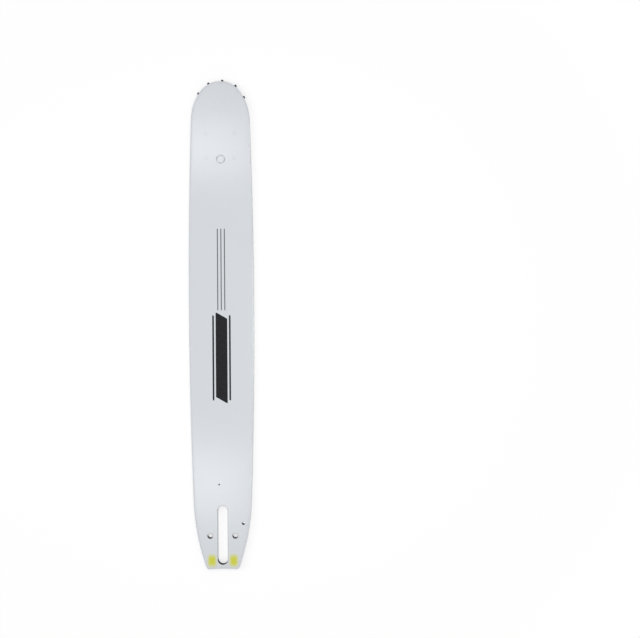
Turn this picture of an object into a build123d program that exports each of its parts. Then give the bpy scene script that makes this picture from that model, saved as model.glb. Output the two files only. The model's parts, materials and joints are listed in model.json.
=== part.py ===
"""Guide bar for a chainsaw: two side plates welded to a core plate, with a toothed sprocket turning on rollers
in the nose.

Millimetres. X runs across the bar, Y from tail to nose, Z from the saw side up to the front face.
The origin is the middle of the stud slot, on the face that lies against the saw.
"""

import math
import os

from build123d import *

os.makedirs("parts", exist_ok=True)

# Chain that runs on the bar
chain_pitch = 9.525
groove_width = 1.7
groove_depth = 7.0

# Plates
reach = 515.5  # stud slot to nose sprocket, centre to centre
side_plate_thickness = 1.55
edge_break = 0.25

# Outline, given by tangent arcs
shoulder_step = 5.5  # half width gained over the nose radius, level with the sprocket
shoulder_radius = 60.0
belly_rise = 4.5  # half width gained from there to the widest place
belly_setback = 240.0  # widest place, back from the sprocket
tail_radius = 260.0
tail_end_width = 37.6
tail_hollow = 1.0
tail_corner_radius = 4.0

# Mount on the saw
slot_width = 12.0
slot_length = 71.0
tail_wall = 6.0  # from the slot's end to the tail's end
tensioner_hole_diameter = 6.5
tensioner_hole_spacing = 30.0
tensioner_hole_setback = 1.0  # towards the tail from the slot's middle
oil_hole_diameter = 3.4
oil_hole_advance = 14.0  # towards the nose from the slot's middle
oil_hole_inset = 7.7  # in from the rail
oil_channel_width = 4.2

# Core plate
core_tail_setback = 0.5
core_rim = 6.5  # left outside the windows
window_count = 4
window_rib = 14.0
window_corner_radius = 9.0
front_land = 53.0  # from the sprocket's pocket to the first window
rear_land = 24.0  # from the last window to the stud slot
pocket_clearance = 1.5

# Weld mark pressed into each face behind the nose
weld_mark_setback = 65.0
weld_mark_diameter = 10.4
weld_mark_ring = 1.3
weld_mark_depth = 0.15

# Nose sprocket
tooth_count = 11
first_tooth_angle = 4.87  # clockwise of the bar's axis, seen from the front
tip_below_rivets = 2.0  # tooth tip, in from the circle of the chain's rivets
tooth_standout = 2.5  # tooth tip, past the edge of the nose
tooth_tip_width = 2.4
tooth_tip_bevel = 0.6
gullet_depth = 10.3
gullet_radius = 5.2
side_play = 0.1

# Nose bearing
race_diameter = 23.2
roller_diameter = 3.6
roller_play = 0.05  # radial, on each side of a roller
roller_gap = 0.1  # least room between neighbouring rollers

# Nose rivets, ground flush
rivet_count = 6
rivet_circle_diameter = 15.2
rivet_diameter = 3.6
rivet_play = 0.02
rivet_sink = 0.03

# Levels
core_bottom = side_plate_thickness
core_top = core_bottom + groove_width
bar_thickness = core_top + side_plate_thickness
middle_level = bar_thickness / 2

# Radii about the sprocket's axis
rivet_line_radius = chain_pitch / (2 * math.sin(math.pi / (2 * tooth_count)))
tip_radius = rivet_line_radius - tip_below_rivets
nose_radius = tip_radius - tooth_standout
root_radius = tip_radius - gullet_depth
race_radius = race_diameter / 2
roller_circle_radius = race_radius + roller_diameter / 2 + roller_play
bore_radius = race_radius + roller_diameter + 2 * roller_play
pocket_radius = tip_radius + pocket_clearance

# Stations along the bar
slot_nose_end = slot_length / 2
tail_end = -slot_length / 2 - tail_wall
belly_station = reach - belly_setback
nose_centre = Vector(0, reach)
nose_axis_place = Location((0, reach, 0))


def circles_meet(centre_a, radius_a, centre_b, radius_b):
    """The meeting point of two circles that lies to the left on the way from a to b."""
    span = centre_b - centre_a
    along = (radius_a**2 - radius_b**2 + span.length**2) / (2 * span.length)
    aside = math.sqrt(radius_a**2 - along**2)
    way = span.normalized()
    return centre_a + way * along + Vector(-way.Y, way.X) * aside


# Arc centres of the right-hand edge, from nose to tail
belly_half_width = nose_radius + shoulder_step + belly_rise
belly_radius = (belly_setback**2 + belly_rise**2) / (2 * belly_rise)
belly_centre = Vector(belly_half_width - belly_radius, belly_station)
shoulder_centre = circles_meet(
    nose_centre, shoulder_radius - nose_radius, belly_centre, belly_radius - shoulder_radius
)
tail_corner = Vector(tail_end_width / 2, tail_end)
tail_centre = circles_meet(belly_centre, belly_radius - tail_radius, tail_corner, tail_radius)

# Unit directions in which those arcs touch each other
nose_touch = (nose_centre - shoulder_centre).normalized()
shoulder_touch = (shoulder_centre - belly_centre).normalized()
tail_touch = (tail_centre - belly_centre).normalized()


def rail_half_width(station, inset=0.0):
    """Half width of the bar in its belly or tail."""
    tail_starts = (belly_centre + tail_touch * belly_radius).Y
    centre, radius = (tail_centre, tail_radius) if station < tail_starts else (belly_centre, belly_radius)
    return centre.X + math.sqrt((radius - inset) ** 2 - (station - centre.Y) ** 2)


def bar_edge(inset=0.0, tail_setback=0.0):
    """Draws the bar's closed edge, moved in from the rails by the inset."""
    end = tail_end + tail_setback
    nose_tip = nose_centre + Vector(0, nose_radius - inset)
    nose_to_shoulder = nose_centre + nose_touch * (nose_radius - inset)
    shoulder_to_belly = belly_centre + shoulder_touch * (belly_radius - inset)
    belly_to_tail = belly_centre + tail_touch * (belly_radius - inset)
    corner = Vector(rail_half_width(end, inset), end)
    nose = TangentArc(nose_tip, nose_to_shoulder, tangent=(1, 0))
    shoulder = TangentArc(nose_to_shoulder, shoulder_to_belly, tangent=nose % 1)
    belly = TangentArc(shoulder_to_belly, belly_to_tail, tangent=shoulder % 1)
    TangentArc(belly_to_tail, corner, tangent=belly % 1)
    mirror(about=Plane.YZ)
    ThreePointArc(corner, (0, end + tail_hollow), (-corner.X, end))


def saw_mount_holes():
    """Cuts the stud slot and the two tensioner holes into a sketch of a plate."""
    SlotOverall(slot_length, slot_width, rotation=90, mode=Mode.SUBTRACT)
    with Locations((0, -tensioner_hole_setback)):
        with GridLocations(tensioner_hole_spacing, 1, 2, 1):
            Circle(tensioner_hole_diameter / 2, mode=Mode.SUBTRACT)


oil_hole_x = rail_half_width(oil_hole_advance) - oil_hole_inset
rivet_hole_radius = rivet_diameter / 2 + rivet_play

# Front side plate
with BuildPart() as front_side_plate:
    with BuildSketch(Plane.XY.offset(core_top)) as side_plate_profile:
        with BuildLine():
            bar_edge()
        make_face()
        fillet(side_plate_profile.vertices().group_by(Axis.Y)[0], tail_corner_radius)
        saw_mount_holes()
        with Locations((oil_hole_x, oil_hole_advance)):
            Circle(oil_hole_diameter / 2, mode=Mode.SUBTRACT)
        with Locations(nose_axis_place):
            with PolarLocations(rivet_circle_diameter / 2, rivet_count, start_angle=90):
                Circle(rivet_hole_radius, mode=Mode.SUBTRACT)
    extrude(amount=side_plate_thickness)
    front_face = front_side_plate.faces().sort_by(Axis.Z)[-1]
    chamfer(front_face.outer_wire().edges(), edge_break)
    with BuildSketch(Plane.XY.offset(bar_thickness)):
        with Locations((0, reach - weld_mark_setback)):
            Circle(weld_mark_diameter / 2)
            Circle(weld_mark_diameter / 2 - weld_mark_ring, mode=Mode.SUBTRACT)
    extrude(amount=-weld_mark_depth, mode=Mode.SUBTRACT)
front_side_plate.part.label = "front_side_plate"
export_step(front_side_plate.part, "parts/front_side_plate.step")

# Back side plate: the same plate turned over about the bar's length
with BuildPart() as back_side_plate:
    add(front_side_plate.part.rotate(Axis((0, 0, middle_level), (0, 1, 0)), 180))
back_side_plate.part.label = "back_side_plate"
export_step(back_side_plate.part, "parts/back_side_plate.step")

# Core plate: its edge is the floor of the chain groove, and its front end makes room for the sprocket
window_front = reach - pocket_radius - front_land
window_rear = slot_nose_end + rear_land
window_pitch = (window_front - window_rear + window_rib) / window_count
rib_places = [(0, window_rear - window_rib / 2 + window_pitch * step) for step in range(1, window_count)]
beyond = 2 * reach

with BuildPart() as core_plate:
    with BuildSketch(Plane.XY.offset(core_bottom)) as core_profile:
        with BuildLine():
            bar_edge(groove_depth, core_tail_setback)
        make_face()
        saw_mount_holes()
        with Locations(nose_axis_place):
            Circle(pocket_radius, mode=Mode.SUBTRACT)
        for side in (-1, 1):
            with Locations((side * oil_hole_x, oil_hole_advance)):
                Circle(oil_channel_width / 2, mode=Mode.SUBTRACT)
            with Locations((side * (oil_hole_x + groove_depth / 2), oil_hole_advance)):
                Rectangle(groove_depth, oil_channel_width, mode=Mode.SUBTRACT)
    extrude(amount=groove_width)
    with BuildSketch(Plane.XY.offset(core_bottom)) as core_windows:
        with BuildLine():
            bar_edge(groove_depth + core_rim)
        make_face()
        with Locations((0, window_front)):
            Rectangle(beyond, beyond, align=(Align.CENTER, Align.MIN), mode=Mode.SUBTRACT)
        with Locations((0, window_rear)):
            Rectangle(beyond, beyond, align=(Align.CENTER, Align.MAX), mode=Mode.SUBTRACT)
        with Locations(*rib_places):
            Rectangle(beyond, window_rib, mode=Mode.SUBTRACT)
        fillet(core_windows.vertices(), window_corner_radius)
    extrude(amount=groove_width, mode=Mode.SUBTRACT)
core_plate.part.label = "core_plate"
export_step(core_plate.part, "parts/core_plate.step")

# Nose sprocket: a ring whose round-bottomed gullets take the chain's drive links
tooth_step = 360 / tooth_count
gullet_centre = Vector(root_radius + gullet_radius, 0)
tip_half_angle = math.asin(tooth_tip_width / 2 / tip_radius)
gullet_half_angle = math.pi / tooth_count - tip_half_angle
tip_corner = Vector(math.cos(gullet_half_angle), math.sin(gullet_half_angle)) * tip_radius
to_tip = tip_corner - gullet_centre
flank_turn = math.acos(gullet_radius / to_tip.length)
flank_angle = math.atan2(to_tip.Y, to_tip.X) + flank_turn
flank_foot = gullet_centre + Vector(math.cos(flank_angle), math.sin(flank_angle)) * gullet_radius
flank_run = (tip_corner - flank_foot).normalized()
flank_end = tip_corner + flank_run * tooth_standout

with BuildSketch() as gullet:
    with BuildLine():
        Line(flank_end, flank_foot)
        ThreePointArc(flank_foot, (root_radius, 0), (flank_foot.X, -flank_foot.Y))
        Line((flank_foot.X, -flank_foot.Y), (flank_end.X, -flank_end.Y))
        Line((flank_end.X, -flank_end.Y), flank_end)
    make_face()

with BuildPart() as nose_sprocket:
    with BuildSketch(Plane.XY.offset(core_bottom + side_play)) as sprocket_profile:
        with Locations(nose_axis_place):
            Circle(tip_radius)
            with PolarLocations(0, tooth_count, start_angle=90 - first_tooth_angle + tooth_step / 2):
                add(gullet.sketch, mode=Mode.SUBTRACT)
        tip_corners = [
            corner
            for corner in sprocket_profile.vertices()
            if abs((Vector(corner.X, corner.Y) - nose_centre).length - tip_radius) < 0.01
        ]
        chamfer(tip_corners, tooth_tip_bevel)
        with Locations(nose_axis_place):
            Circle(bore_radius, mode=Mode.SUBTRACT)
    extrude(amount=groove_width - 2 * side_play)
nose_sprocket.part.label = "nose_sprocket"
export_step(nose_sprocket.part, "parts/nose_sprocket.step")

# Inner race, clamped between the side plates
with BuildPart() as bearing_inner_race:
    with BuildSketch(Plane.XY.offset(core_bottom)):
        with Locations(nose_axis_place):
            Circle(race_radius)
            with PolarLocations(rivet_circle_diameter / 2, rivet_count, start_angle=90):
                Circle(rivet_hole_radius, mode=Mode.SUBTRACT)
    extrude(amount=groove_width)
bearing_inner_race.part.label = "bearing_inner_race"
export_step(bearing_inner_race.part, "parts/bearing_inner_race.step")

# Rollers, a full set with no cage
roller_count = int(math.pi / math.asin((roller_diameter + roller_gap) / 2 / roller_circle_radius))
for number in range(roller_count):
    roller_name = f"bearing_roller_{number + 1:02d}"
    roller_angle = 2 * math.pi * number / roller_count
    roller_side = roller_circle_radius * math.sin(roller_angle)
    roller_ahead = roller_circle_radius * math.cos(roller_angle)
    with BuildPart() as bearing_roller:
        with BuildSketch(Plane.XY.offset(core_bottom + side_play)):
            with Locations((roller_side, reach + roller_ahead)):
                Circle(roller_diameter / 2)
        extrude(amount=groove_width - 2 * side_play)
    bearing_roller.part.label = roller_name
    export_step(bearing_roller.part, f"parts/{roller_name}.step")

# Nose rivets, headed flush in both side plates
with BuildPart() as nose_rivets:
    with BuildSketch(Plane.XY.offset(rivet_sink)):
        with Locations(nose_axis_place):
            with PolarLocations(rivet_circle_diameter / 2, rivet_count, start_angle=90):
                Circle(rivet_diameter / 2)
    extrude(amount=bar_thickness - 2 * rivet_sink)
nose_rivets.part.label = "nose_rivets"
export_step(nose_rivets.part, "parts/nose_rivets.step")
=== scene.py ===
# %% [markdown]
# # A chainsaw guide bar
# A guide bar is a steel sandwich. Two lacquered side plates are welded to a narrower core plate, so a
# groove for the chain is left all round the edge. A toothed sprocket turns on rollers in the nose, and a
# slot in the tail slides on the saw's studs. The solid parts are loaded first, at their real size. Every
# step after that gives one piece or one finish its looks, in the same place and in metres.

# %% Load the solid parts
import cmath
import json
import math

import bmesh
import bpy
from mathutils import Matrix, Vector
from mathutils.geometry import tessellate_polygon


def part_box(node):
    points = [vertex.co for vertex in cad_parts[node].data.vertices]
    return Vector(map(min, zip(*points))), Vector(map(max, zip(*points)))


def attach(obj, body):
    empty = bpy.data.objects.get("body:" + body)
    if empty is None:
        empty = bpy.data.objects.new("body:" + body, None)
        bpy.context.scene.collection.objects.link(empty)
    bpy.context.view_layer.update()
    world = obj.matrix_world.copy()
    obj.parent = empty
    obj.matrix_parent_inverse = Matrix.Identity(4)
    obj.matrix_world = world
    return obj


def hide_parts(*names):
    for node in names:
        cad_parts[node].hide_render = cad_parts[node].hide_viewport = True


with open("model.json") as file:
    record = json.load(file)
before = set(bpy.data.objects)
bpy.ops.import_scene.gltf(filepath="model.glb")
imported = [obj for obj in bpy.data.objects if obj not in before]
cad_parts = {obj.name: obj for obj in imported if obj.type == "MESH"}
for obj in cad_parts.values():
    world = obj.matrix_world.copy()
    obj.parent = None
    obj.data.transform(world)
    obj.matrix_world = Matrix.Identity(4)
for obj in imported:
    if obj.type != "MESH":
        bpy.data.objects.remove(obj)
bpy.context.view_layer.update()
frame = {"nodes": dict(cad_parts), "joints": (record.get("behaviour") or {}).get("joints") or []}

# %% [markdown]
# The levels of the sandwich and the sprocket's axis come from the loaded parts, not from typed numbers.
# When a plate gets thicker there, everything here follows.

# %% Levels and axis
mm = 0.001
inner_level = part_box("front_side_plate")[0].z
face_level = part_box("front_side_plate")[1].z
sprocket_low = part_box("nose_sprocket")[0].z
sprocket_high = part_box("nose_sprocket")[1].z
rivet_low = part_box("nose_rivets")[0].z
rivet_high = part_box("nose_rivets")[1].z
nose_place = Vector(frame["joints"][0]["pos_m"])
nose = complex(nose_place.x, nose_place.y)
print(f"face at {face_level / mm:.2f} mm, nose axis {nose.imag / mm:.1f} mm from the stud slot")

# %% [markdown]
# ## Node trees
# Finishes, repeated pieces and print are all node trees here. One helper adds any node: it takes the
# node's settings and, for each input, a value or the output of another node. Two more give short names to
# arithmetic, and one takes a coordinate out of a point.


# %% Helpers for node trees
def add(tree, kind, inputs, output=0, **settings):
    """Adds a node, sets or links its inputs and returns one of its outputs."""
    node = tree.nodes.new(kind)
    for name, value in settings.items():
        setattr(node, name, value)
    for name, value in inputs.items():
        if isinstance(value, bpy.types.NodeSocket):
            tree.links.new(value, node.inputs[name])
        else:
            node.inputs[name].default_value = value
    return node.outputs[output]


def calc(tree, operation, *values):
    return add(tree, "ShaderNodeMath", dict(enumerate(values)), operation=operation)


def calc_vector(tree, operation, *values):
    output = "Value" if operation in ("DISTANCE", "LENGTH") else "Vector"
    return add(tree, "ShaderNodeVectorMath", dict(enumerate(values)), output, operation=operation)


def coordinate(tree, point, axis):
    return add(tree, "ShaderNodeSeparateXYZ", {"Vector": point}, axis)


print("tree helpers ready")

# %% [markdown]
# ## Finishes
# Each finish is a small node tree that starts at the Principled shader. Patterns are read from Object
# coordinates, in metres, so one grain has one real size on every piece. The helpers keep the trees short:
# they make the material, a noise whose grain size is given as a length, a range, a mix of two colours and
# a relief.


# %% Helpers for finishes
def new_finish(name, roughness, metallic=0.0):
    """A new material, its tree and the inputs of its shader."""
    finish = bpy.data.materials.new(name)
    finish.use_nodes = True
    shader = finish.node_tree.nodes["Principled BSDF"].inputs
    shader["Roughness"].default_value = roughness
    shader["Metallic"].default_value = metallic
    return finish, finish.node_tree, shader


def surface_point(tree, stretch=(1, 1, 1)):
    place = add(tree, "ShaderNodeTexCoord", {}, "Object")
    return add(tree, "ShaderNodeMapping", {"Vector": place, "Scale": stretch})


def grain(tree, point, size, detail):
    return add(tree, "ShaderNodeTexNoise", {"Vector": point, "Scale": 1 / size, "Detail": detail}, "Fac")


def spread(tree, value, low, high, start=0.3, end=0.7):
    """Stretches a range, by default the middle of a noise, to the range from low to high."""
    ranges = {"From Min": start, "From Max": end, "To Min": low, "To Max": high}
    return add(tree, "ShaderNodeMapRange", {"Value": value, **ranges}, "Result")


def between(tree, share, *colours):
    """Goes from the first colour to the second with the share.

    Mix has an A and a B for every type of data, so its colour sockets are picked by number.
    """
    first, second = [(*c, 1) if isinstance(c, tuple) else c for c in colours]
    return add(tree, "ShaderNodeMix", {0: share, 6: first, 7: second}, 2, data_type="RGBA")


def relief(tree, shader, height, depth):
    bump = add(tree, "ShaderNodeBump", {"Height": height, "Distance": depth, "Strength": 1.0}, "Normal")
    tree.links.new(bump, shader["Normal"])


print("finish helpers ready")

# %% [markdown]
# ### Silver lacquer
# The faces carry a thin satin lacquer with fine metal flakes. Seen close, it has a slight orange-peel
# relief about a millimetre wide and flakes about a tenth of that. Seen from a step away, it is a calm
# blue-grey under a thin clear coat, which gives the broad soft bands of sheen. Its colour holds painted
# shade along the rims of the rails and in the groove of the weld mark's ring. It also turns a little
# darker where the plates were spot-welded behind the nose.
#
# The painted shade on the rims is a vertex attribute, because only the mesh knows how far a point is from
# an edge. The ring and the stains are round, so a distance in the bar's plane is enough. Taking the
# absolute value across the bar makes each stain a pair, and a noise leaves the ring's painted shade patchy.

# %% Weld stains and painted shade in the weld ring
in_plane = (1, 1, 0)
stain_places = [(17.0 * mm, nose.imag - 34.0 * mm, 0), (16.5 * mm, nose.imag - 64.0 * mm, 0)]
stain_radius = 3.4 * mm
stain_core = 0.3 * stain_radius
stain_strength = 0.35
groove_shade_middle = (0.4 * mm, nose.imag - 64.5 * mm, 0)
groove_shade_radius = 4.75 * mm
groove_shade_half_width = 1.1 * mm
groove_shade_core = 0.2 * groove_shade_half_width
groove_shade_patch_size = 3.5 * mm
groove_shade_patch_range = (0.38, 0.62)
faintest_groove_shade = 0.35


def weld_stains(tree, point):
    """Strongest in the middle of each stain, fading to nought at its rim."""
    flat = calc_vector(tree, "MULTIPLY", calc_vector(tree, "ABSOLUTE", point), in_plane)
    strongest = 0.0
    for place in stain_places:
        away = calc_vector(tree, "DISTANCE", flat, place)
        stain = spread(tree, away, stain_strength, 0.0, stain_core, stain_radius)
        strongest = calc(tree, "MAXIMUM", strongest, stain)
    return strongest


def weld_groove_shade(tree, point):
    """Painted shade in the ring groove: one on the line of the weld ring, fading to nought on both sides,
    and patchy along it.
    """
    away = calc_vector(tree, "DISTANCE", calc_vector(tree, "MULTIPLY", point, in_plane), groove_shade_middle)
    off_line = calc(tree, "ABSOLUTE", calc(tree, "SUBTRACT", away, groove_shade_radius))
    ring = spread(tree, off_line, 1.0, 0.0, groove_shade_core, groove_shade_half_width)
    noise = grain(tree, point, groove_shade_patch_size, 1)
    return calc(tree, "MULTIPLY", ring, spread(tree, noise, faintest_groove_shade, 1.0, *groove_shade_patch_range))


print("stains:", 2 * len(stain_places), "and one shaded ring")

# %% Silver lacquer
lacquer_colour = (0.609, 0.638, 0.668)
flake_colour = (0.649, 0.678, 0.708)
stain_tint = (0.520, 0.540, 0.565)
# painted shade in the groove of the weld mark's ring
groove_shade_tint = (0.330, 0.345, 0.365)
# painted shade along the rims of the rails
rim_shade_tint = (0.595, 0.622, 0.655)
flake_size = 0.12 * mm
flake_roughness = (0.38, 0.47)
cloud_size = 60 * mm
cloud_strength = 0.10
peel_size = 1.1 * mm
peel_depth = 0.012 * mm
satin_roughness = 0.42


def clear_coat(shader):
    shader["Specular IOR Level"].default_value = 0.25
    shader["Coat Weight"].default_value = 0.9
    shader["Coat Roughness"].default_value = 0.19


def make_silver_lacquer():
    finish, tree, shader = new_finish("silver_lacquer", satin_roughness)
    clear_coat(shader)
    point = surface_point(tree)
    flakes = spread(tree, grain(tree, point, flake_size, 1), 0, 1)
    clouds = spread(tree, grain(tree, point, cloud_size, 3), 0, cloud_strength)
    rim_shade_band = add(tree, "ShaderNodeAttribute", {}, "Fac", attribute_name="rim_shade_band")
    colour = between(tree, flakes, lacquer_colour, flake_colour)
    colour = between(tree, clouds, colour, stain_tint)
    colour = between(tree, weld_stains(tree, point), colour, stain_tint)
    colour = between(tree, weld_groove_shade(tree, point), colour, groove_shade_tint)
    colour = between(tree, rim_shade_band, colour, rim_shade_tint)
    tree.links.new(colour, shader["Base Color"])
    tree.links.new(spread(tree, flakes, *flake_roughness, 0, 1), shader["Roughness"])
    relief(tree, shader, grain(tree, point, peel_size, 2), peel_depth)
    return finish


silver_lacquer = make_silver_lacquer()
print("silver lacquer nodes:", len(silver_lacquer.node_tree.nodes))

# %% [markdown]
# ### Bare steels
# The rails are ground after the lacquer has dried, so they are bare steel with fine lines along the bar.
# The walls of the slot and the holes are punched, and their near-black steel is painted shade inside the
# holes. The core plate, the sprocket and the bearing are the same metal at different stages: rolled,
# hardened dark and finely ground. One function with a few named choices makes them all. Stretching the
# noise along one axis turns grains into lines.

# %% Bare steels
line_share = 0.6
patch_size = 7 * mm
wear = 0.06
along_bar = (1, 0.03, 1)
through_plate = (1, 1, 0.08)
all_ways = (1, 1, 1)


def make_steel(name, dark, bright, roughness, line_size, stretch, scratch_depth):
    finish, tree, shader = new_finish(name, roughness, metallic=1.0)
    lines = grain(tree, surface_point(tree, stretch), line_size, 3)
    patches = grain(tree, surface_point(tree), patch_size, 3)
    fine = spread(tree, lines, 0, line_share)
    broad = spread(tree, patches, 0, 1 - line_share)
    shade = calc(tree, "ADD", fine, broad)
    tree.links.new(between(tree, shade, dark, bright), shader["Base Color"])
    tree.links.new(spread(tree, shade, roughness + wear, roughness - wear, 0, 1), shader["Roughness"])
    relief(tree, shader, lines, scratch_depth)
    return finish


rail_steel = make_steel(
    "ground_rail_steel", dark=(0.60, 0.60, 0.61), bright=(0.78, 0.78, 0.79), roughness=0.34,
    line_size=0.25 * mm, stretch=along_bar, scratch_depth=0.004 * mm,
)
# the walls' near-black colour is painted shade inside the slot and the holes
wall_steel = make_steel(
    "punched_wall_steel", dark=(0.020, 0.020, 0.022), bright=(0.065, 0.065, 0.068), roughness=0.58,
    line_size=0.20 * mm, stretch=through_plate, scratch_depth=0.02 * mm,
)
core_steel = make_steel(
    "rolled_core_steel", dark=(0.040, 0.040, 0.042), bright=(0.100, 0.100, 0.103), roughness=0.52,
    line_size=0.40 * mm, stretch=along_bar, scratch_depth=0.006 * mm,
)
sprocket_steel = make_steel(
    "hardened_sprocket_steel", dark=(0.020, 0.020, 0.023), bright=(0.055, 0.055, 0.060), roughness=0.42,
    line_size=0.30 * mm, stretch=all_ways, scratch_depth=0.006 * mm,
)
bearing_steel = make_steel(
    "fine_ground_bearing_steel", dark=(0.42, 0.42, 0.44), bright=(0.60, 0.60, 0.62), roughness=0.24,
    line_size=0.15 * mm, stretch=all_ways, scratch_depth=0.002 * mm,
)
print("steels:", [m.name for m in bpy.data.materials if "steel" in m.name])

# %% [markdown]
# Two steels change along the bar. Round the nose and at the tail's end the rails' steel turns near-black,
# so it throws back little light and the shade on the table beside them deepens. In the core, painted
# light brightens the slot's straight flanks. Both are a second colour, mixed over the first by a share
# that depends on the place.

# %% Dark ends and painted light on the slot's flanks
# near-black rails at nose and tail, so the shade on the table beside them deepens
shade_deepening_colour = (0.06, 0.06, 0.065)
nose_dark_span = (nose.imag - 10 * mm, nose.imag + 15 * mm)
tail_dark_span = (-30 * mm, -36 * mm)
# painted light on the straight flanks of the core's slot
flank_light_colour = (0.56, 0.56, 0.57)
slot_length = 71 * mm
slot_width = 12 * mm
slot_reach = (slot_length - slot_width) / 2
lit_flank_half_width = 0.55 * slot_width
lit_flank_core = 0.98 * lit_flank_half_width
lit_flank_reach = 0.9 * slot_reach


def recolour(finish, share, colour):
    tree = finish.node_tree
    base = tree.nodes["Principled BSDF"].inputs["Base Color"]
    tree.links.new(between(tree, share, base.links[0].from_socket, colour), base)


def darken_ends(finish):
    tree = finish.node_tree
    along = coordinate(tree, surface_point(tree), "Y")
    for start, end in (nose_dark_span, tail_dark_span):
        recolour(finish, spread(tree, along, 0.0, 1.0, start, end), shade_deepening_colour)


def light_slot_flanks(finish):
    tree = finish.node_tree
    apart = calc_vector(tree, "ABSOLUTE", surface_point(tree))
    across = coordinate(tree, apart, "X")
    along = coordinate(tree, apart, "Y")
    near = spread(tree, across, 1.0, 0.0, lit_flank_core, lit_flank_half_width)
    straight = spread(tree, along, 1.0, 0.0, lit_flank_reach, slot_reach)
    recolour(finish, calc(tree, "MULTIPLY", near, straight), flank_light_colour)


darken_ends(rail_steel)
light_slot_flanks(core_steel)
print("nodes in the rails' steel:", len(rail_steel.node_tree.nodes))

# %% [markdown]
# ### Printing inks and marking paint
# The print is a thin film of screen ink with a faint mesh-like mottling, from two sizes of noise. The two
# marks at the tail are dabs of yellow paint: thick in the middle and thin at the rim, where the lacquer
# shows through. A distance from the dab's middle, measured in its half width and half length, gives that
# fade. Squaring it first makes the fade follow a rounded rectangle, and the absolute value across the bar
# serves both dabs at once. The real thickness of all films comes later as geometry.

# %% Inks
fine_mottle = 0.35 * mm
broad_mottle = 14 * fine_mottle
least_fine = 0.6
least_broad = 0.5
ink_wear = 0.05
ink_relief = 0.004 * mm


def make_ink(name, thin, thick, roughness, gloss):
    finish, tree, shader = new_finish(name, roughness)
    shader["Specular IOR Level"].default_value = gloss
    point = surface_point(tree)
    fine = grain(tree, point, fine_mottle, 2)
    broad = grain(tree, point, broad_mottle, 2)
    fine_share = spread(tree, fine, least_fine, 1.0)
    broad_share = spread(tree, broad, least_broad, 1.0)
    share = calc(tree, "MULTIPLY", fine_share, broad_share)
    tree.links.new(between(tree, share, thin, thick), shader["Base Color"])
    tree.links.new(spread(tree, fine, roughness + ink_wear, roughness - ink_wear), shader["Roughness"])
    relief(tree, shader, fine, ink_relief)
    return finish


black_ink = make_ink(
    "black_screen_ink", thin=(0.020, 0.020, 0.023), thick=(0.007, 0.007, 0.009), roughness=0.44, gloss=0.12
)
grey_ink = make_ink(
    "grey_screen_ink", thin=(0.150, 0.154, 0.160), thick=(0.095, 0.098, 0.104), roughness=0.46, gloss=0.20
)
print("inks:", black_ink.name, grey_ink.name)

# %% Marking paint
mark_middle = complex(13.0 * mm, -30.7 * mm)
mark_width = 12.0 * mm
mark_length = 17.0 * mm
thick_yellow = (0.570, 0.580, 0.012)
thin_yellow = (0.615, 0.630, 0.300)
thick_fade = (0.10, 0.60)
cover_fade = (0.45, 1.00)
thinnest_cover = 0.25
brush_stretch = (1, 0.3, 1)
brush_size = 1.6 * mm
brush_wander = 0.12
brush_relief = 0.01 * mm
brush_roughness = (0.36, 0.48)


def make_marking_paint():
    finish, tree, shader = new_finish("yellow_marking_paint", satin_roughness)
    clear_coat(shader)
    mirrored = calc_vector(tree, "ABSOLUTE", surface_point(tree))
    from_middle = calc_vector(tree, "SUBTRACT", mirrored, (mark_middle.real, -mark_middle.imag, 0))
    in_halves = calc_vector(tree, "MULTIPLY", from_middle, (2 / mark_width, 2 / mark_length, 0))
    outward = calc_vector(tree, "LENGTH", calc_vector(tree, "MULTIPLY", in_halves, in_halves))
    brushed = grain(tree, surface_point(tree, brush_stretch), brush_size, 3)
    uneven = calc(tree, "ADD", outward, spread(tree, brushed, -brush_wander, brush_wander))
    colour = between(tree, spread(tree, uneven, 1.0, 0.0, *thick_fade), thin_yellow, thick_yellow)
    cover = spread(tree, uneven, 1.0, thinnest_cover, *cover_fade)
    tree.links.new(between(tree, cover, lacquer_colour, colour), shader["Base Color"])
    tree.links.new(spread(tree, brushed, *brush_roughness), shader["Roughness"])
    relief(tree, shader, brushed, brush_relief)
    return finish


yellow_paint = make_marking_paint()
print("marking paint:", yellow_paint.name)

# %% [markdown]
# ## The bar's edge
# Seen from above, each long edge is a chain of arcs that touch each other: a hollow at the tail's end, a
# small corner, the tail's taper, the long belly, a shoulder and the nose. A drawn spline could come
# close, but arcs keep the edge exactly on the solid part. Points in the plane are complex numbers here,
# across plus along times j, because then a turn is a product and a length is `abs`.

# %% Arcs of the right-hand edge
nose_radius = 28.9645 * mm
shoulder_radius = 60 * mm
shoulder_step = 5.5 * mm
belly_rise = 4.5 * mm
belly_setback = 240 * mm
tail_radius = 260 * mm
tail_corner = complex(18.8 * mm, -41.5 * mm)
tail_hollow = 1.0 * mm
tail_corner_radius = 4 * mm


def circles_meet(centre_a, radius_a, centre_b, radius_b):
    """The meeting point of two circles that lies to the left on the way from a to b."""
    span = abs(centre_b - centre_a)
    way = (centre_b - centre_a) / span
    along = (radius_a**2 - radius_b**2 + span**2) / (2 * span)
    aside = math.sqrt(radius_a**2 - along**2)
    return centre_a + way * complex(along, aside)


belly_radius = (belly_setback**2 + belly_rise**2) / (2 * belly_rise)
belly_half_width = nose_radius + shoulder_step + belly_rise
belly = complex(belly_half_width - belly_radius, nose.imag - belly_setback)
shoulder = circles_meet(nose, shoulder_radius - nose_radius, belly, belly_radius - shoulder_radius)
tail = circles_meet(belly, belly_radius - tail_radius, tail_corner, tail_radius)
hollow_radius = (tail_corner.real**2 + tail_hollow**2) / (2 * tail_hollow)
hollow = complex(0, tail_corner.imag + tail_hollow - hollow_radius)
corner = circles_meet(tail, tail_radius - tail_corner_radius, hollow, hollow_radius + tail_corner_radius)
print(f"belly radius {belly_radius:.2f} m, half width {belly_half_width / mm:.2f} mm")

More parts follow.
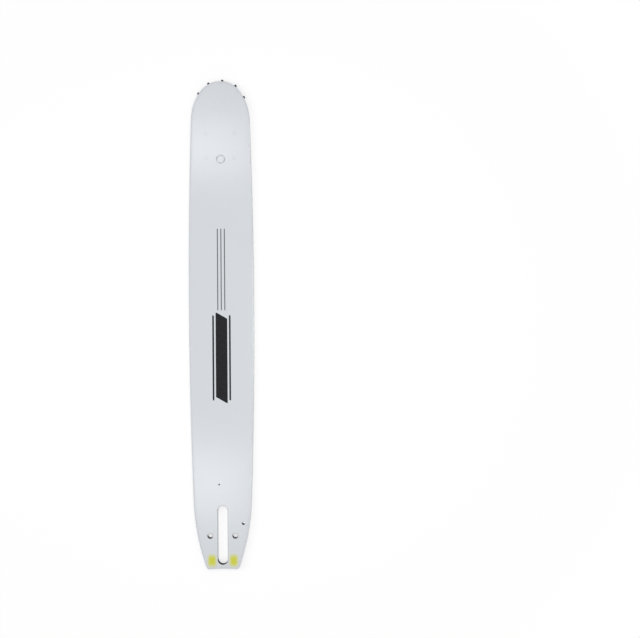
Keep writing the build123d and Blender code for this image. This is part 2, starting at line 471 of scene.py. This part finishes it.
# %% Points along the whole edge
longest_step = 5 * mm
widest_turn = math.radians(2.5)
plumb = 1j  # from tail to nose


def arc(centre, radius, start, end):
    """Points from the direction start to the direction end, the shorter way round."""
    turn = cmath.phase(end / start)
    steps = math.ceil(max(abs(turn) * radius / longest_step, abs(turn) / widest_turn))
    first = start / abs(start)
    return [centre + radius * first * cmath.exp(1j * turn * step / steps) for step in range(steps)]


right_edge = (
    arc(hollow, hollow_radius, plumb, corner - hollow)
    + arc(corner, tail_corner_radius, hollow - corner, corner - tail)
    + arc(tail, tail_radius, corner - tail, tail - belly)
    + arc(belly, belly_radius, tail - belly, shoulder - belly)
    + arc(shoulder, shoulder_radius, shoulder - belly, nose - shoulder)
    + arc(nose, nose_radius, nose - shoulder, plumb)
)
nose_tip = nose + plumb * nose_radius
left_edge = [complex(-p.real, p.imag) for p in reversed(right_edge[1:])]
bar_edge = right_edge + [nose_tip] + left_edge
print("edge points:", len(bar_edge), "widest:", round(2 * max(p.real for p in bar_edge) / mm, 2), "mm")

# %% [markdown]
# ## Side plates
# A plate could be a curve with a bevel, or a solid with boolean holes. Both leave little control over
# where the lacquer stops, so the plate is laid up by hand instead. Every edge and hole is a closed loop
# that climbs through a short profile of (inset, level) steps, which makes its wall and its broken edge.
# The flat between the loops is then filled with triangles. Loops run with the metal on their left, so one
# rule moves any of them into the metal.

# %% Helpers for walls and flats
sharp_angle = math.radians(32)


def moved_in(loop, inset):
    count = len(loop)
    ways = [loop[(i + 1) % count] - loop[i - 1] for i in range(count)]
    return [p + 1j * way / abs(way) * inset for p, way in zip(loop, ways)]


def add_wall(shell, loop, profile):
    """Climbs the profile of (inset, level, finish) steps along a closed loop and returns its rows."""
    rows = []
    for inset, level, _ in profile:
        rows.append([shell.verts.new((p.real, p.imag, level)) for p in moved_in(loop, inset)])
    steps = zip(rows, rows[1:], profile, profile[1:])
    for low, high, (_, level, finish), (_, next_level, _) in steps:
        for i in range(len(loop)):
            face = shell.faces.new((low[i - 1], low[i], high[i], high[i - 1]))
            face.material_index = finish
            face.smooth = level != next_level
    return rows


def add_flat(shell, rows, finish):
    """Fills the space between closed rows of points. The filler wants large numbers, so millimetres."""
    corners = [corner for row in rows for corner in row]
    for triple in tessellate_polygon([[vert.co / mm for vert in row] for row in rows]):
        face = shell.faces.new([corners[i] for i in triple])
        face.material_index = finish


def as_mesh(shell, name):
    mesh = bpy.data.meshes.new(name)
    shell.to_mesh(mesh)
    shell.free()
    return mesh


def round_hole(centre, radius, steps=48):
    return [centre + radius * cmath.exp(-2j * math.pi * step / steps) for step in range(steps)]


def break_shading(mesh):
    """Shades smoothly over small angles. The call makes all faces smooth, so the flat ones are put back."""
    smooth = [face.use_smooth for face in mesh.polygons]
    mesh.set_sharp_from_angle(angle=sharp_angle)
    mesh.polygons.foreach_set("use_smooth", smooth)


def lay_piece(name, mesh, finishes):
    break_shading(mesh)
    for finish in finishes:
        mesh.materials.append(finish)
    piece = bpy.data.objects.new(name, mesh)
    bpy.context.scene.collection.objects.link(piece)
    return piece


print("a 12 mm hole has", len(round_hole(0, 6 * mm)), "points")

# %% Places and sizes of the plate's holes
tensioner_hole_radius = 3.25 * mm
tensioner_holes = [complex(-15 * mm, -1 * mm), complex(15 * mm, -1 * mm)]
oil_hole_radius = 1.7 * mm
oil_hole_y = 14 * mm
oil_hole_inset = 7.7 * mm
tail_width_there = tail.real + math.sqrt(tail_radius**2 - (oil_hole_y - tail.imag) ** 2)
oil_hole = complex(tail_width_there - oil_hole_inset, oil_hole_y)
rivet_count = 6
rivet_ring_radius = 7.6 * mm
rivet_radius = 1.8 * mm
rivet_gap = 0.02 * mm
rivet_hole_radius = rivet_radius + rivet_gap
rivet_steps = 36
rivet_turns = [cmath.exp(2j * math.pi * n / rivet_count) for n in range(rivet_count)]
rivet_places = [nose + rivet_ring_radius * plumb * turn for turn in rivet_turns]
weld_mark = nose - 65j * mm
weld_mark_radius = 5.2 * mm
weld_mark_ring = 1.3 * mm
weld_mark_depth = 0.15 * mm
punch_mark = complex(-4 * mm, nose.imag - 455 * mm)
punch_mark_radius = 1.0 * mm
punch_mark_depth = 0.35 * mm
punch_mark_steps = 24
slot_end_steps = 24
slot_turns = [math.pi * step / slot_end_steps for step in range(slot_end_steps + 1)]
slot_end = [slot_width / 2 * cmath.exp(-1j * turn) for turn in slot_turns]
stud_slot = [-p + 1j * slot_reach for p in slot_end] + [p - 1j * slot_reach for p in slot_end]
print(f"oil hole at {oil_hole.real / mm:.1f}, {oil_hole.imag / mm:.1f} mm, slot points: {len(stud_slot)}")

# %% [markdown]
# The profiles say how each edge is broken. The rails have a small chamfer that is softened at its two
# corners. From there the face rises in a gentle roll, as grinding leaves it, so the rims mirror another
# part of the room than the flat does. An attribute fades out over the roll's inner half for the painted
# shade on the rims. The slot and the holes only lose their burr. The weld mark is a shallow
# round-bottomed ring, and the punch mark near the tail is a dimple.

# %% Edge profiles
lacquer, rail, wall = 0, 1, 2  # places in a plate's list of finishes
rail_chamfer = 0.18 * mm
first_bend = 0.15 * rail_chamfer
second_bend = 0.75 * rail_chamfer
rail_roll_width = 3.0 * mm
rail_roll_drop = 0.20 * mm
rail_roll_steps = 5
rail_band_width = rail_chamfer + rail_roll_width
burr = 0.25 * mm
burr_bend = 0.3 * burr
groove_break = 0.06 * mm
rail_level = face_level - rail_roll_drop
rail_profile = [
    (groove_break, inner_level, rail),
    (0, inner_level + groove_break, rail),
    (0, rail_level - rail_chamfer, rail),
    (first_bend, rail_level - second_bend, lacquer),
    (second_bend, rail_level - first_bend, lacquer),
]
for step in range(rail_roll_steps + 1):
    share = step / rail_roll_steps
    roll_level = face_level - rail_roll_drop * (1 - share) ** 2
    rail_profile.append((rail_chamfer + rail_roll_width * share, roll_level, lacquer))
hole_profile = [
    (0, inner_level, wall),
    (0, face_level - burr, wall),
    (burr_bend, face_level - burr_bend, wall),
    (burr, face_level, lacquer),
]
rivet_hole_profile = [(0, inner_level, lacquer), (0, face_level, lacquer)]


def ring_groove(width, depth, steps=8):
    """Half-round steps from the outer rim of a ring to its inner rim."""
    turns = [math.pi * step / steps for step in range(steps + 1)]
    return [(-width / 2 * (1 - math.cos(t)), face_level - depth * math.sin(t), lacquer) for t in turns]


def dimple(radius, depth, steps=5):
    """Steps from the rim of a round dimple towards its bottom."""
    shares = [step / steps for step in range(steps)]
    return [(-radius * share, face_level - depth * math.sin(share * math.pi / 2), wall) for share in shares]


print("rail profile steps:", len(rail_profile))

# %% [markdown]
# Every hole goes through the plate, so its loop bounds both the flat underneath and the lacquered flat on
# top. The two marks only bound the top, and their own bottoms are filled. The saw's studs slide along the
# straight flanks of the slot. Those flanks get the rails' bright steel as painted light, while the slot's
# ends and the punched holes keep the near-black wall steel as painted shade. So the flanks' faces change
# from the wall's finish to the rails'. The back plate is a front plate without the punch mark, turned
# over about the bar's length.

# %% Lay up both plates
flank_tolerance = 0.1 * burr


# painted light: the slot's straight flanks on the plates get the rails' bright steel
def light_plate_flanks(shell):
    for face in shell.faces:
        middle = face.calc_center_median()
        on_flank = abs(abs(middle.x) - slot_width / 2) < flank_tolerance
        if on_flank and abs(middle.y) < slot_reach:
            face.material_index = rail


def lay_up_plate(name, has_punch_mark):
    shell = bmesh.new()
    # this attribute carries the painted shade along the rims
    band = shell.verts.layers.float.new("rim_shade_band")
    rows = add_wall(shell, bar_edge, rail_profile)
    under, over = [rows[0]], [rows[-1]]
    for row, (inset, _, _) in zip(rows, rail_profile):
        for vert in row:
            vert[band] = min(1.0, 2 * (rail_band_width - inset) / rail_band_width)
    holes = [(stud_slot, hole_profile), (round_hole(oil_hole, oil_hole_radius), hole_profile)]
    holes += [(round_hole(place, tensioner_hole_radius), hole_profile) for place in tensioner_holes]
    for place in rivet_places:
        holes.append((round_hole(place, rivet_hole_radius, rivet_steps), rivet_hole_profile))
    for loop, profile in holes:
        rows = add_wall(shell, loop, profile)
        under.append(rows[0])
        over.append(rows[-1])
    ring = round_hole(weld_mark, weld_mark_radius)
    marks = [(ring, ring_groove(weld_mark_ring, weld_mark_depth), lacquer)]
    if has_punch_mark:
        dot = round_hole(punch_mark, punch_mark_radius, punch_mark_steps)
        marks.append((dot, dimple(punch_mark_radius, punch_mark_depth), wall))
    for loop, profile, finish in marks:
        rows = add_wall(shell, loop, profile)
        over.append(rows[0])
        add_flat(shell, [rows[-1]], finish)
    add_flat(shell, under, rail)
    add_flat(shell, over, lacquer)
    light_plate_flanks(shell)
    bmesh.ops.recalc_face_normals(shell, faces=shell.faces)
    return as_mesh(shell, name)


front_mesh = lay_up_plate("front_plate", True)
back_mesh = lay_up_plate("back_plate", False)
turned_over = Matrix.Translation((0, 0, face_level)) @ Matrix.Rotation(math.pi, 4, "Y")
back_mesh.transform(turned_over)
for mesh, node in ((front_mesh, "front_side_plate"), (back_mesh, "back_side_plate")):
    plate = lay_piece(mesh.name, mesh, [silver_lacquer, rail_steel, wall_steel])
    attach(plate, "bar")
    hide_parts(node)
    print(plate.name, "faces:", len(mesh.polygons))

# %% [markdown]
# ## What repeats round the nose
# Eleven teeth and six rivets sit evenly round one axis. One Geometry Nodes tree serves both: it takes the
# mesh it is put on, moves it out to a ring radius, and turns a copy of it to each step round the axis.
# The sizes are inputs of the tree, so another sprocket only needs another count. Neighbouring teeth share
# their edge points, and Merge by Distance sews them into one ring.

# %% A tree that spreads a piece round an axis
tooth_seam = 0.002 * mm


def new_tree(name, inputs):
    """A tree with named inputs that takes and gives geometry, and the sockets that carry its inputs."""
    tree = bpy.data.node_groups.new(name, "GeometryNodeTree")
    for socket, kind in {"Geometry": "Geometry", **inputs, "Finish": "Material"}.items():
        tree.interface.new_socket(name=socket, in_out="INPUT", socket_type=f"NodeSocket{kind}")
    tree.interface.new_socket(name="Geometry", in_out="OUTPUT", socket_type="NodeSocketGeometry")
    return tree, tree.nodes.new("NodeGroupInput").outputs


def end_tree(tree, geometry, finish):
    painted = add(tree, "GeometryNodeSetMaterial", {"Geometry": geometry, "Material": finish})
    tree.links.new(painted, tree.nodes.new("NodeGroupOutput").inputs["Geometry"])


def make_ring_tree():
    inputs = {"Count": "Int", "First Angle": "Float", "Ring Radius": "Float", "Axis Place": "Vector"}
    tree, given = new_tree("spread_round_axis", inputs)
    outward = add(tree, "ShaderNodeCombineXYZ", {"Y": given["Ring Radius"]})
    moved = add(tree, "GeometryNodeTransform", {"Geometry": given["Geometry"], "Translation": outward})
    points = add(tree, "GeometryNodePoints", {"Count": given["Count"], "Position": given["Axis Place"]})
    step = calc(tree, "DIVIDE", 2 * math.pi, given["Count"])
    number = add(tree, "GeometryNodeInputIndex", {})
    angle = calc(tree, "MULTIPLY_ADD", number, step, given["First Angle"])
    turn = add(tree, "FunctionNodeAxisAngleToRotation", {"Axis": (0, 0, 1), "Angle": angle})
    placing = {"Points": points, "Instance": moved, "Rotation": turn}
    copies = add(tree, "GeometryNodeInstanceOnPoints", placing)
    real = add(tree, "GeometryNodeRealizeInstances", {"Geometry": copies})
    sewn = add(tree, "GeometryNodeMergeByDistance", {"Geometry": real, "Distance": tooth_seam})
    end_tree(tree, sewn, given["Finish"])
    return tree


ring_tree = make_ring_tree()
print("ring tree inputs:", [s.name for s in ring_tree.interface.items_tree if s.in_out == "INPUT"])


# %% Run a tree and keep the plain mesh
def run_tree(name, mesh, tree, choices):
    """Puts the tree on the mesh, sets its inputs by socket identifier and returns the resulting piece."""
    piece = lay_piece(name, mesh, [])
    modifier = piece.modifiers.new(tree.name, "NODES")
    modifier.node_group = tree
    for socket in tree.interface.items_tree:
        if socket.in_out == "INPUT" and socket.name in choices:
            modifier[socket.identifier] = choices[socket.name]
    depsgraph = bpy.context.evaluated_depsgraph_get()
    result = bpy.data.meshes.new_from_object(piece.evaluated_get(depsgraph))
    piece.modifiers.remove(modifier)
    piece.data = result
    result.name = name
    result.materials.clear()
    result.materials.append(choices["Finish"])
    result.polygons.foreach_set("material_index", [0] * len(result.polygons))
    break_shading(result)
    print(name, "faces:", len(result.polygons), "finishes:", [m.name for m in result.materials])
    return piece


# %% [markdown]
# ### Nose sprocket
# The sprocket is a thin star wheel of hardened steel. One sector is drawn from the middle of a gullet
# over a tooth to the middle of the next gullet: a round bottom, a straight flank that touches it, a
# bevelled tip, and the same back. Each point of that line goes round a small cross-section from rim to
# bore, so both edges get a fine break that catches the light.

# %% One tooth of the sprocket
tooth_count = 11
first_tooth_angle = math.radians(-4.87)
tip_radius = 31.4645 * mm
tooth_height = 10.3 * mm
root_radius = tip_radius - tooth_height
gullet_radius = 5.2 * mm
tip_width = 2.4 * mm
tip_bevel = 0.6 * mm
bore_radius = 15.3 * mm
tooth_break = 0.10 * mm
half_step = math.pi / tooth_count


def half_tooth():
    """From the gullet's bottom, on the line of the first complex direction, to the tooth's middle."""
    gullet = complex(root_radius + gullet_radius, 0)
    tip_half_angle = math.asin(tip_width / 2 / tip_radius)
    tip = tip_radius * cmath.exp(1j * (half_step - tip_half_angle))
    flank_angle = cmath.phase(tip - gullet) + math.acos(gullet_radius / abs(tip - gullet))
    foot = gullet + gullet_radius * cmath.exp(1j * flank_angle)
    bevel_start = tip - (tip - foot) / abs(tip - foot) * tip_bevel
    bevel_end = tip * cmath.exp(1j * tip_bevel / tip_radius)
    middle = tip_radius * cmath.exp(1j * half_step)
    round_bottom = arc(gullet, gullet_radius, -1, foot - gullet)
    flank = [foot, (foot + bevel_start) / 2, bevel_start]
    return round_bottom + flank + [(bevel_start + bevel_end) / 2, bevel_end, middle]


def tooth_line():
    """The whole sector with its tooth pointing along the bar."""
    right = [p * plumb * cmath.exp(-1j * half_step) for p in half_tooth()]
    return right + [complex(-p.real, p.imag) for p in reversed(right[:-1])]


def lay_up_tooth():
    line = tooth_line()
    ways = [b - a for a, b in zip([line[0], *line], [*line[1:], line[-1]])]
    sunk = [p + 1j * way / abs(way) * tooth_break for p, way in zip(line, ways)]
    sunk[0] = line[0] * (1 - tooth_break / abs(line[0]))
    sunk[-1] = line[-1] * (1 - tooth_break / abs(line[-1]))
    bore = [p / abs(p) * bore_radius for p in line]
    flared = [p / abs(p) * (bore_radius + tooth_break) for p in line]
    section = [
        (sunk, sprocket_low),
        (line, sprocket_low + tooth_break),
        (line, sprocket_high - tooth_break),
        (sunk, sprocket_high),
        (flared, sprocket_high),
        (bore, sprocket_high - tooth_break),
        (bore, sprocket_low + tooth_break),
        (flared, sprocket_low),
    ]
    shell = bmesh.new()
    rows = []
    for row, level in section:
        rows.append([shell.verts.new((p.real, p.imag, level - nose_place.z)) for p in row])
    for row, following in zip(rows, rows[1:] + rows[:1]):
        for i in range(len(line) - 1):
            face = shell.faces.new((row[i], row[i + 1], following[i + 1], following[i]))
            face.smooth = True
    return as_mesh(shell, "tooth")


tooth_choices = {
    "Count": tooth_count,
    "First Angle": first_tooth_angle,
    "Ring Radius": 0.0,
    "Axis Place": nose_place,
    "Finish": sprocket_steel,
}
sprocket = run_tree("star_wheel", lay_up_tooth(), ring_tree, tooth_choices)
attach(sprocket, "sprocket")
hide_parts("nose_sprocket")

# %% [markdown]
# ### Nose rivets
# Six rivets hold the inner race between the side plates. They are ground flush and lacquered with the
# bar, so only a hair-thin ring shows. A rivet is a pin whose two ends have a fine break, laid up with the
# same wall and flat helpers as the plates.

# %% One rivet, six times
rivet_break = 0.05 * mm


def lay_up_rivet():
    shell = bmesh.new()
    pin = [p.conjugate() for p in round_hole(0, rivet_radius, rivet_steps)]
    low, high = rivet_low - nose_place.z, rivet_high - nose_place.z
    profile = [
        (rivet_break, low, 0),
        (0, low + rivet_break, 0),
        (0, high - rivet_break, 0),
        (rivet_break, high, 0),
    ]
    rows = add_wall(shell, pin, profile)
    add_flat(shell, [rows[0]], 0)
    add_flat(shell, [rows[-1]], 0)
    bmesh.ops.recalc_face_normals(shell, faces=shell.faces)
    return as_mesh(shell, "rivet")


rivet_choices = {
    "Count": rivet_count,
    "First Angle": 0.0,
    "Ring Radius": rivet_ring_radius,
    "Axis Place": nose_place,
    "Finish": silver_lacquer,
}
rivets = run_tree("flush_rivets", lay_up_rivet(), ring_tree, rivet_choices)
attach(rivets, "bar")
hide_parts("nose_rivets")

# %% [markdown]
# ## Pieces that keep their solid shape
# The core plate, the inner race and the rollers lie deep in the groove. Their solid shapes are right as
# they are, so they only get their steel: a finish is put into the slot that each loaded part already has.

# %% Finishes for the inner pieces
inner_finishes = {"core_plate": core_steel, "bearing_inner_race": bearing_steel}
for name in frame["nodes"]:
    if name.startswith("bearing_roller"):
        inner_finishes[name] = bearing_steel
for name, finish in inner_finishes.items():
    frame["nodes"][name].material_slots[0].material = finish
print("inner pieces dressed:", len(inner_finishes))

# %% [markdown]
# ## Print and marks
# Print on a guide bar is screen ink, a film of a few hundredths of a millimetre. It could be painted in
# the lacquer's material, but a real film has an edge that shows up close, and it exports as a shape of
# its own. A second tree makes films: a slanted stripe outline is rounded at its corners, wandered a
# little by seeded noise, filled, given its thickness and copied side by side. The same tree makes the
# stripes, the fine lines and the two yellow marks.

# %% A film from an outline
corner_steps = 6
outline_step = 0.7 * mm
wander_size = 2.5 * mm
film_seam = 0.001 * mm


def stripe_outline(tree, given):
    """The rounded, slightly wandering outline of one stripe that runs along the bar."""
    sizes = {"Width": given["Stripe Length"], "Height": given["Stripe Width"], "Offset": given["Slant"]}
    outline = add(tree, "GeometryNodeCurvePrimitiveQuadrilateral", sizes, mode="PARALLELOGRAM")
    corners = {
        "Curve": outline,
        "Radius": given["Corner Radius"],
        "Count": corner_steps,
        "Limit Radius": True,
    }
    rounded = add(tree, "GeometryNodeFilletCurve", corners, mode="POLY")
    steps = {"Curve": rounded, "Length": outline_step}
    stepped = add(tree, "GeometryNodeResampleCurve", steps, mode="LENGTH")
    waves = {
        "Vector": add(tree, "GeometryNodeInputPosition", {}),
        "W": given["Seed"],
        "Scale": 1 / wander_size,
    }
    noise = add(tree, "ShaderNodeTexNoise", waves, "Color", noise_dimensions="4D")
    centred = calc_vector(tree, "SUBTRACT", noise, (0.5, 0.5, 0.5))
    reach = add(tree, "ShaderNodeCombineXYZ", {"X": given["Wander"], "Y": given["Wander"]})
    push = calc_vector(tree, "MULTIPLY", centred, reach)
    return add(tree, "GeometryNodeSetPosition", {"Geometry": stepped, "Offset": push})


def film_from(tree, outline, thickness):
    """Fills an outline, lifts the film by its thickness and closes its underside."""
    filled = add(tree, "GeometryNodeFillCurve", {"Curve": outline}, mode="NGONS")
    lifted = add(tree, "GeometryNodeExtrudeMesh", {"Mesh": filled, "Offset Scale": thickness})
    underside = add(tree, "GeometryNodeFlipFaces", {"Mesh": filled})
    both = add(tree, "GeometryNodeJoinGeometry", {"Geometry": lifted})
    tree.links.new(underside, both.node.inputs["Geometry"])
    return add(tree, "GeometryNodeMergeByDistance", {"Geometry": both, "Distance": film_seam})


print("film seam:", film_seam / mm, "mm")


# %% A tree that prints stripes
def make_print_tree():
    numbers = (
        "Stripe Length", "Stripe Width", "Pitch", "Slant",
        "Corner Radius", "Wander", "Film Thickness", "Seed",
    )
    inputs = {"Stripe Count": "Int", **dict.fromkeys(numbers, "Float"), "Print Place": "Vector"}
    tree, given = new_tree("printed_stripes", inputs)
    film = film_from(tree, stripe_outline(tree, given), given["Film Thickness"])
    turned = add(tree, "GeometryNodeTransform", {"Geometry": film, "Rotation": (0, 0, math.pi / 2)})
    number = add(tree, "GeometryNodeInputIndex", {})
    middle = calc(tree, "MULTIPLY", calc(tree, "SUBTRACT", given["Stripe Count"], 1.0), 0.5)
    steps = calc(tree, "SUBTRACT", number, middle)
    aside = add(tree, "ShaderNodeCombineXYZ", {"X": calc(tree, "MULTIPLY", steps, given["Pitch"])})
    place = calc_vector(tree, "ADD", aside, given["Print Place"])
    points = add(tree, "GeometryNodePoints", {"Count": given["Stripe Count"], "Position": place})
    copies = add(tree, "GeometryNodeInstanceOnPoints", {"Points": points, "Instance": turned})
    real = add(tree, "GeometryNodeRealizeInstances", {"Geometry": copies})
    end_tree(tree, real, given["Finish"])
    return tree


print_tree = make_print_tree()
print("print tree nodes:", len(print_tree.nodes))

# %% [markdown]
# The print's layout is plain: one broad black stripe between two thin ones on the belly, then three fine
# grey lines towards the nose. Each film is bedded a little into the lacquer, so no two faces share a
# plane.

# %% Print the stripes and the marks
film_bed = 0.01 * mm
ink_film = 0.02 * mm
paint_film = 0.03 * mm
stripe_middle = complex(0, nose.imag - 303 * mm)
line_middle = complex(0, nose.imag - 197 * mm)
marks_middle = complex(0, mark_middle.imag)


def print_stripes(
    name, ink, middle, thickness, count, seed, length, width, pitch, slant, corner_radius, wander
):
    choices = {
        "Stripe Count": count,
        "Stripe Length": length,
        "Stripe Width": width,
        "Pitch": pitch,
        "Slant": slant,
        "Corner Radius": corner_radius,
        "Wander": wander,
        "Film Thickness": thickness + film_bed,
        "Seed": seed,
        "Print Place": Vector((middle.real, middle.imag, face_level - film_bed)),
        "Finish": ink,
    }
    piece = run_tree(name, bpy.data.meshes.new(name), print_tree, choices)
    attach(piece, "bar")


print_stripes(
    "broad_stripe", black_ink, stripe_middle, ink_film, count=1, seed=1.0, length=102 * mm,
    width=14 * mm, pitch=0.0, slant=8 * mm, corner_radius=0.8 * mm, wander=0.04 * mm,
)
print_stripes(
    "thin_stripes", black_ink, stripe_middle, ink_film, count=2, seed=2.0, length=102 * mm,
    width=2 * mm, pitch=20 * mm, slant=1.2 * mm, corner_radius=0.4 * mm, wander=0.04 * mm,
)
print_stripes(
    "fine_lines", grey_ink, line_middle, ink_film, count=3, seed=3.0, length=98 * mm,
    width=1.2 * mm, pitch=4.2 * mm, slant=0.7 * mm, corner_radius=0.3 * mm, wander=0.03 * mm,
)
print_stripes(
    "yellow_marks", yellow_paint, marks_middle, paint_film, count=2, seed=4.0, length=mark_length,
    width=mark_width, pitch=2 * mark_middle.real, slant=0.0, corner_radius=4 * mm, wander=1.4 * mm,
)

# %% [markdown]
# ## Floor and light
# The bar lies on a white table. Half of the table's white comes from an emission that only camera, mirror
# and glass rays see. The rest is diffuse, and there the bar's shadow falls. Far from the bar the emission
# rises to plain white, so no horizon shows from the side. The sky follows the same rule: white where it
# is seen, softer where it lights.

# %% White table
bar_middle = Vector((0, 0.26, face_level))
table_white = 0.507
table_grey = (0.515, 0.515, 0.515)
black = (0.0, 0.0, 0.0)
table_near = 0.28
table_far = 0.55
table_size = 6.0
table_gap = 0.05 * mm


def seen_directly(tree):
    """One for rays that show the background: from the camera, off metal or through glass."""
    path = tree.nodes.new("ShaderNodeLightPath").outputs
    share = calc(tree, "MAXIMUM", path["Is Camera Ray"], path["Is Glossy Ray"])
    return calc(tree, "MAXIMUM", share, path["Is Transmission Ray"])


def make_white_table():
    finish = bpy.data.materials.new("white_table")
    finish.use_nodes = True
    tree = finish.node_tree
    tree.nodes.remove(tree.nodes["Principled BSDF"])
    away = calc_vector(tree, "DISTANCE", surface_point(tree), (0, bar_middle.y, 0))
    far_off = spread(tree, away, 0.0, 1.0, table_near, table_far)
    matt = add(tree, "ShaderNodeBsdfDiffuse", {"Color": between(tree, far_off, table_grey, black)})
    level = spread(tree, far_off, table_white, 1.0, 0, 1)
    strength = calc(tree, "MULTIPLY", level, seen_directly(tree))
    glow = add(tree, "ShaderNodeEmission", {"Strength": strength})
    together = add(tree, "ShaderNodeAddShader", {0: matt, 1: glow})
    tree.links.new(together, tree.nodes["Material Output"].inputs["Surface"])
    return finish


half = table_size / 2
table_corners = [(x * half, y * half, -table_gap) for x, y in ((-1, -1), (1, -1), (1, 1), (-1, 1))]
table_mesh = bpy.data.meshes.new("table")
table_mesh.from_pydata(table_corners, [], [(0, 1, 2, 3)])
table = lay_piece("table", table_mesh, [make_white_table()])
print("table size:", table_size, "m")

# %% Sky
sky_level = 0.594
sky = bpy.data.worlds.new("studio")
bpy.context.scene.world = sky
sky.use_nodes = True
background = sky.node_tree.nodes["Background"].inputs
background["Color"].default_value = (1, 1, 1, 1)
sky_strength = spread(sky.node_tree, seen_directly(sky.node_tree), sky_level, 1.0, 0, 1)
sky.node_tree.links.new(sky_strength, background["Strength"])
print("sky level:", sky_level)

# %% [markdown]
# ### Lamps
# A low lamp on the left throws a soft shadow to the right. A small one above, beside the camera, is
# mirrored by the right-hand rim and falls off towards nose and tail. Two softboxes stand where the clear
# coat mirrors them into the camera: one band of sheen lies behind the nose and one before the tail.
# Beside each stands a dimmer one for the rolled right-hand rim, which leans away from the first two.

# %% Lamps
# name: (place, aim, width, length, watts)
lamps = {
    "left_lamp": ((-1.4, 0.26, 0.80), bar_middle, 0.6, 0.6, 3.3),
    "top_lamp": ((0.20, 0.26, 0.65), bar_middle, 0.30, 0.30, 0.95),
    "nose_sheen": ((-0.275, 0.81, 1.20), (-0.275, 0.46, 0), 0.31, 0.14, 0.86),
    "tail_sheen": ((-0.275, -0.26, 1.20), (-0.235, 0.07, 0), 0.31, 0.20, 0.96),
    "nose_rim_fill": ((0.16, 0.81, 1.20), (0.16, 0.46, 0), 0.32, 0.20, 0.86),
    "tail_rim_fill": ((0.16, -0.26, 1.20), (0.16, 0.07, 0), 0.32, 0.20, 0.86),
}
for name, (place, aim, width, length, watts) in lamps.items():
    light = bpy.data.lights.new(name, "AREA")
    light.shape = "RECTANGLE"
    light.size = width
    light.size_y = length
    light.energy = watts
    lamp = bpy.data.objects.new(name, light)
    lamp.location = place
    lamp.rotation_euler = (Vector(aim) - Vector(place)).to_track_quat("-Z", "Y").to_euler()
    bpy.context.scene.collection.objects.link(lamp)
print("lamps:", len(bpy.data.lights))

# %% [markdown]
# ## Camera
# The camera looks straight down, with the nose at the top of the frame. It stands to the right of the
# bar, so the bar lies left of the middle and its cross lines stay level. A small roll leans the nose to
# the left.

# %% Camera
camera_place = Vector((0.11826, 0.25835, 0.720))
camera_roll = math.radians(-0.377)
lens_length = 33.545  # lens and sensor are in millimetres
sensor_width = 36
camera_data = bpy.data.cameras.new("camera")
camera_data.lens = lens_length
camera_data.sensor_width = sensor_width
camera = bpy.data.objects.new("camera", camera_data)
camera.location = camera_place
camera.rotation_euler = (0, 0, camera_roll)
bpy.context.scene.collection.objects.link(camera)
bpy.context.scene.camera = camera
bpy.context.scene.view_settings.view_transform = "Standard"
print("camera height:", round(camera_place.z, 3), "m")
